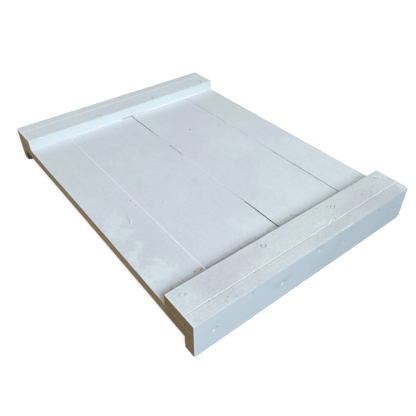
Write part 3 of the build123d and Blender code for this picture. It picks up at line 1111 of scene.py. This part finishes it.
def make_seam(side, end, name, start, stop):
    """A raised line of paint along the top of a cleat, where its batten meets its fascia."""
    xs = np.array(ruled(start, stop, 1.5 * MM))
    centres = np.array([(x, seam_y[side], cover_top - SEAM_SUNK) for x in xs])
    centres[:, 1] += 0.08 * MM * ripple(centres, (0.06, 0.01, 0.01), 4 + end)
    halves = SEAM_HALF[side] * (1 + 0.25 * ripple(centres, (0.02, 0.01, 0.01), 6 + end))
    crowns = SEAM_CROWN * (1 + 0.3 * ripple(centres, (0.012, 0.01, 0.01), 8 + end))
    centres[:, 1] -= end * read(SEAM_SET_BACK[side], xs) * MM
    if side == "front":
        centres[:, 1] += read(CHIP, xs) * MM
    values = {"paint": 1.0, "edge": read(SEAM_WHITE[side], xs)}
    ribbon(name, centres, Y_AXIS, Z_AXIS, halves, crowns, ROOT_DEPTH, seam_paint, "painted_cleat", values)


FOOT_GAPS = {  # x, how far the paint has drawn in
    "front": [(0, 0.0)],
    "rear": [(-21, 0.0), (-18, 0.5), (4, 0.5), (8, 0.25), (29, 0.22), (33, 0.0)],
}
# The white is partly painted light, as if reflected from the batten's bright face.
FOOT_BRIGHT = [  # x, how white the paint lies
    (-206, 0.1), (-140, 0.12), (-100, 0.4), (-30, 0.5), (60, 0.85), (150, 0.7), (178, 0.2), (206, 0.1),
]
FOOT_HALF = 1.1 * MM
FOOT_OUT = 0.85 * MM  # how far the paint stands out of the corner
FOOT_CROWN = 0.05 * MM
FOOT_ROOT = 0.9 * MM


def make_foot(side, end):
    """Paint gathered along the foot of a batten, where it stands on the deck."""
    xs = np.array(ruled(seam_start, seam_stop, 2.0 * MM))
    drawn_in = read(FOOT_GAPS[side], xs)
    outward = unit(np.array((0.0, -end, 1.0)))
    across = unit(np.array((0.0, end, 1.0)))
    corner = np.array([(x, batten_foot[side] + end * 0.1 * MM, deck_top - 0.1 * MM) for x in xs])
    centres = corner + np.outer(FOOT_OUT - drawn_in * MM, outward)
    halves = FOOT_HALF * (1 + 0.2 * ripple(centres, (0.02, 0.01, 0.01), 12 + end))
    values = {
        "paint": 1.0,
        "edge": read(FOOT_BRIGHT, xs) * (drawn_in < 0.1),
        "dull_and_shade": 0.4 * fall(xs, -150, -70),
        "dirt": smooth(drawn_in, 0.08, 0.42),
    }
    name = f"{side}_foot_paint"
    line = (centres, across, outward, halves, FOOT_CROWN, FOOT_ROOT)
    ribbon(name, *line, seam_paint, "painted_cleat", values)


# Along the front batten's end and on across its fascia: y as a share of the way, and rise in mm
GLUE_LINE = [(0.0, 0.0), (0.5, 0.1), (1.0, 0.0), (1.15, -0.4), (1.28, 0.8), (1.38, 3.0)]
GLUE_HALF = 0.5 * MM
GLUE_CROWN = 0.28 * MM
GLUE_ROOT = 0.5 * MM
GLUE_SUNK = 0.3 * MM
GLUE_STATIONS = 40


def make_glue_line(name, x, end):
    """The pale line of the joint under the front batten, where its sawn end shows."""
    shares = np.linspace(0.01, GLUE_LINE[-1][0], GLUE_STATIONS)
    lifts = np.interp(shares, *np.array(GLUE_LINE).T) * MM
    ys = batten_foot["front"] + (seam_y["front"] - batten_foot["front"]) * shares
    centres = np.array([(x - end * GLUE_SUNK, y, deck_top + lift) for y, lift in zip(ys, lifts)])
    values = {"paint": 0.0, "edge": 0.5}
    line = (centres, Z_AXIS, end * X_AXIS, GLUE_HALF, GLUE_CROWN, GLUE_ROOT)
    ribbon(name, *line, seam_paint, "painted_cleat", values)


# Specks in the paint: x, y, radius in mm, tone (0 dark, 0.5 brown, 1 pale, 2 resin)
NIBS = [
    (-130, 140.7, 1, 0), (-69.4, 61.7, 0.8, 0), (-137.3, -17.5, 0.9, 0), (-137.5, -32.3, 0.9, 0),
    (-120.6, -44.3, 0.8, 0), (-99.7, -50.3, 0.7, 0), (-153.1, 209, 1, 0), (-110.4, 204, 1, 0),
    (-102, 115.3, 1.1, 1), (62.9, 100.4, 1.8, 0.5), (55.8, -221.7, 0.8, 0), (45.5, -225.4, 0.8, 0),
    (134.3, -242, 1, 0), (150.3, -245.8, 0.8, 0), (78.6, -248.9, 0.7, 0), (80.3, -260.4, 0.7, 0),
    (-148.5, -265.2, 0.9, 0), (-153.6, -269.6, 0.8, 0), (-140.1, -271, 0.8, 0), (-169.7, -256.5, 0.9, 0),
    (59.8, -253.3, 1.1, 0), (-184.7, -231.3, 0.9, 0), (79.9, -233.6, 0.6, 0), (111.1, -256.9, 0.6, 0),
    (-149.6, -231.2, 0.7, 0), (-66.6, 226.7, 0.9, 0), (-58.2, 227.4, 0.9, 0), (-112.8, 80.2, 0.7, 0),
]
SCRATCHES = [  # short strokes in the paint: x and y of both ends, half width in mm, tone
    (-158.8, -56.6, -166.3, -68, 0.7, 1), (-161, -46, -162.6, -54.5, 0.28, 0),
    (-162.2, -53, -166.3, -65.6, 0.25, 0), (185.2, -224.6, 185.2, -231.2, 0.8, 0),
    (52.7, 230.6, 60, 231.8, 1.3, 1), (188, 225.6, 191, 224.4, 1.3, 1), (184, 227.2, 186.4, 226.8, 1.1, 0),
    (-128, -188, -124.5, -190, 0.25, 0), (82.7, -232.7, 78.6, -235.6, 0.6, 0),
    (79.2, -235.2, 75.1, -236.8, 0.6, 0),
]
CRUMBS = [  # resin in the corner of the front batten's foot: x and y of both ends, half width in mm
    (-140, -198.6, -134.2, -198.2, 1.3), (-138.6, -196.6, -135, -196.2, 0.9),
    (-148, -196.8, -144.4, -195.4, 1.15), (-144.4, -195.9, -141, -194.8, 0.95),
    (-139.6, -194.5, -136.4, -193.9, 0.65), (-144.4, -198.4, -142.2, -197.6, 0.6),
    (-167.2, -198.8, -165.2, -198, 0.6), (-189.4, -201.6, -184.8, -200.8, 0.7),
    (-190.6, -198.6, -188.4, -197.4, 0.45), (-184.9, -198.4, -183.5, -197.8, 0.45),
    (-201, -202.2, -197.8, -200.8, 0.8),
]
CRUMB_TONE = 2
STRAY_NIBS = 26
STRAY_SEED = 7
NIB_SEGMENTS = 10
NIB_RISE = 0.14 * MM
NIB_ROOT = 0.3 * MM
CLEAT_NIB_SUNK = 0.24 * MM  # how far the worn tops lie below the frame's
DECK_NIB_SUNK = 0.08 * MM


def make_nibs():
    """Small lens-shaped specks on the deck and the cleats, some placed and some strewn, and scratches."""
    strewn = np.random.default_rng(STRAY_SEED)
    marks = [(np.array((x, y)), radius * np.eye(2), tone) for x, y, radius, tone in NIBS]
    for _ in range(STRAY_NIBS):
        spot = np.array((strewn.uniform(-200, 200), strewn.uniform(-270, 210)))
        marks.append((spot, strewn.uniform(0.35, 0.6) * np.eye(2), strewn.choice([0.0, 0.0, 1.0])))
    for x0, y0, x1, y1, half_width, tone in SCRATCHES + [(*crumb, CRUMB_TONE) for crumb in CRUMBS]:
        along = np.array((x1 - x0, y1 - y0)) / 2
        across = unit(np.array((-along[1], along[0]))) * half_width
        marks.append((np.array((x0 + x1, y0 + y1)) / 2, np.array((along, across)), tone))
    points, faces, tones = [], [], []
    for (x, y), axes, tone in marks:
        on_cleat = abs(y * MM) > batten_foot["rear"] - 1 * MM
        level = cover_top - CLEAT_NIB_SUNK if on_cleat else deck_top - DECK_NIB_SUNK
        centre = np.array((x * MM, y * MM, level))
        start = len(points)
        points += [centre + NIB_RISE * Z_AXIS, centre - NIB_ROOT * Z_AXIS]
        for turn in turns(NIB_SEGMENTS):
            reach = MM * (1 + 0.25 * math.sin(2 * turn + x) + 0.15 * math.sin(3 * turn + y))
            away = (axes[0] * math.cos(turn) + axes[1] * math.sin(turn)) * reach
            points.append(centre + np.append(away, 0.0))
        for k in range(NIB_SEGMENTS):
            a, b = start + 2 + k, start + 2 + (k + 1) % NIB_SEGMENTS
            faces += [[start, a, b], [start + 1, b, a]]
        tones += [tone] * (NIB_SEGMENTS + 2)
    piece = make_object("paint_nibs", points, faces, {"tone": tones}, nib_material())


# The cover

PAINT_PITH = (0.0, -0.05)
nail_steel = nail_material()
joint_paint = timber_material("joint_paint", True, PAINT_PITH, **DECK_LOOK)
seam_paint = timber_material("seam_paint", False, PAINT_PITH, tops=CLEAT_TOPS["rear"], sides=BATTEN_SIDES_LIT)
seam_start, seam_stop = left_x + SEAM_STOP, right_x - SEAM_STOP
for index in range(len(BOARDS)):
    make_board(index)
for index in range(len(joints)):
    make_joint_fill(index)
for side, end in SIDES.items():
    make_batten(side, end)
    make_fascia(side, end)
    make_foot(side, end)
    make_nails(f"{side}_batten_nails", (0, 0, -1))
    for row in ("lower", "upper"):
        make_nails(f"{side}_fascia_{row}_nails", (0, -end, 0))
make_glue_line("front_left_glue_line", left_x, -1)
make_glue_line("front_right_glue_line", right_x, 1)
make_seam("front", -1, "front_seam_paint_left", seam_start, SEAM_BREAK[0])
make_seam("front", -1, "front_seam_paint_right", SEAM_BREAK[1], seam_stop)
make_seam("rear", 1, "rear_seam_paint", seam_start, seam_stop)
make_nibs()


# Studio: a pale floor, soft light and the photograph's viewpoint

FLOOR_REACH = 12.0
FLOOR_SEEN = shade(0.46, 0.46, 0.46)
FLOOR_LIFT = 0.78
FLOOR_BOUNCE = shade(0.30, 0.29, 0.27)
SKY = shade(0.97, 0.985, 1.0)
SKY_STRENGTH = 0.42
WHITE = shade(1.0, 1.0, 1.0)


def make_floor():
    """A plain floor, white to the camera, that keeps the cover's shadow."""
    mesh = bpy.data.meshes.new("floor")
    corners = [(-1, -1), (1, -1), (1, 1), (-1, 1)]
    mesh.from_pydata([(x * FLOOR_REACH, y * FLOOR_REACH, 0) for x, y in corners], [], [(0, 1, 2, 3)])
    floor = bpy.data.objects.new("floor", mesh)
    bpy.context.collection.objects.link(floor)
    g = Graph(bpy.data.materials.new("floor_white"))
    pale = g.node("BsdfDiffuse", {"Color": FLOOR_SEEN})
    lift = g.node("Emission", {"Color": WHITE, "Strength": FLOOR_LIFT})
    bright = g.node("AddShader", {0: pale.outputs[0], 1: lift.outputs[0]})
    dim = g.node("BsdfDiffuse", {"Color": FLOOR_BOUNCE})
    mesh.materials.append(g.finish(g.choose(g.seen(), dim, bright)))


def make_world():
    """Even light from all round, seen as white."""
    g = Graph(bpy.data.worlds.new("studio"))
    soft = g.node("Background", {"Color": SKY, "Strength": SKY_STRENGTH})
    white = g.node("Background", {"Color": WHITE, "Strength": 1.0})
    bpy.context.scene.world = g.finish(g.choose(g.seen(), soft, white), "OutputWorld")


def make_lamp(name, azimuth, elevation, distance, size, power):
    """A square soft lamp that looks at the cover. Azimuth turns from -Y toward -X."""
    lamp = bpy.data.lights.new(name, "AREA")
    lamp.shape = "SQUARE"
    lamp.size = size
    lamp.energy = power
    a, e = math.radians(azimuth), math.radians(elevation)
    away = Vector((-math.sin(a) * math.cos(e), -math.cos(a) * math.cos(e), math.sin(e)))
    holder = bpy.data.objects.new(name, lamp)
    holder.location = away * distance
    holder.rotation_mode = "QUATERNION"
    holder.rotation_quaternion = (-away).to_track_quat("-Z", "Y")
    bpy.context.collection.objects.link(holder)


CAMERA_PLACE = Vector((-368.65, -509.79, 474.81)) * MM
CAMERA_TARGET = Vector((-53.69, -105.69, 41.73)) * MM
CAMERA_ROLL = math.radians(-0.054)
CAMERA_SENSOR = 36.0
CAMERA_LENS = 38.149


def make_camera():
    """The photograph's viewpoint."""
    data = bpy.data.cameras.new("camera")
    data.sensor_width = CAMERA_SENSOR
    data.lens = CAMERA_LENS
    camera = bpy.data.objects.new("camera", data)
    look = (CAMERA_TARGET - CAMERA_PLACE).to_track_quat("-Z", "Y").to_matrix().to_4x4()
    camera.matrix_world = Matrix.Translation(CAMERA_PLACE) @ look @ Matrix.Rotation(CAMERA_ROLL, 4, "Z")
    bpy.context.collection.objects.link(camera)
    bpy.context.scene.camera = camera


make_floor()
make_world()
make_lamp("key", azimuth=12, elevation=41, distance=2.7, size=1.35, power=63)
make_camera()
bpy.context.scene.view_settings.view_transform = "Standard"
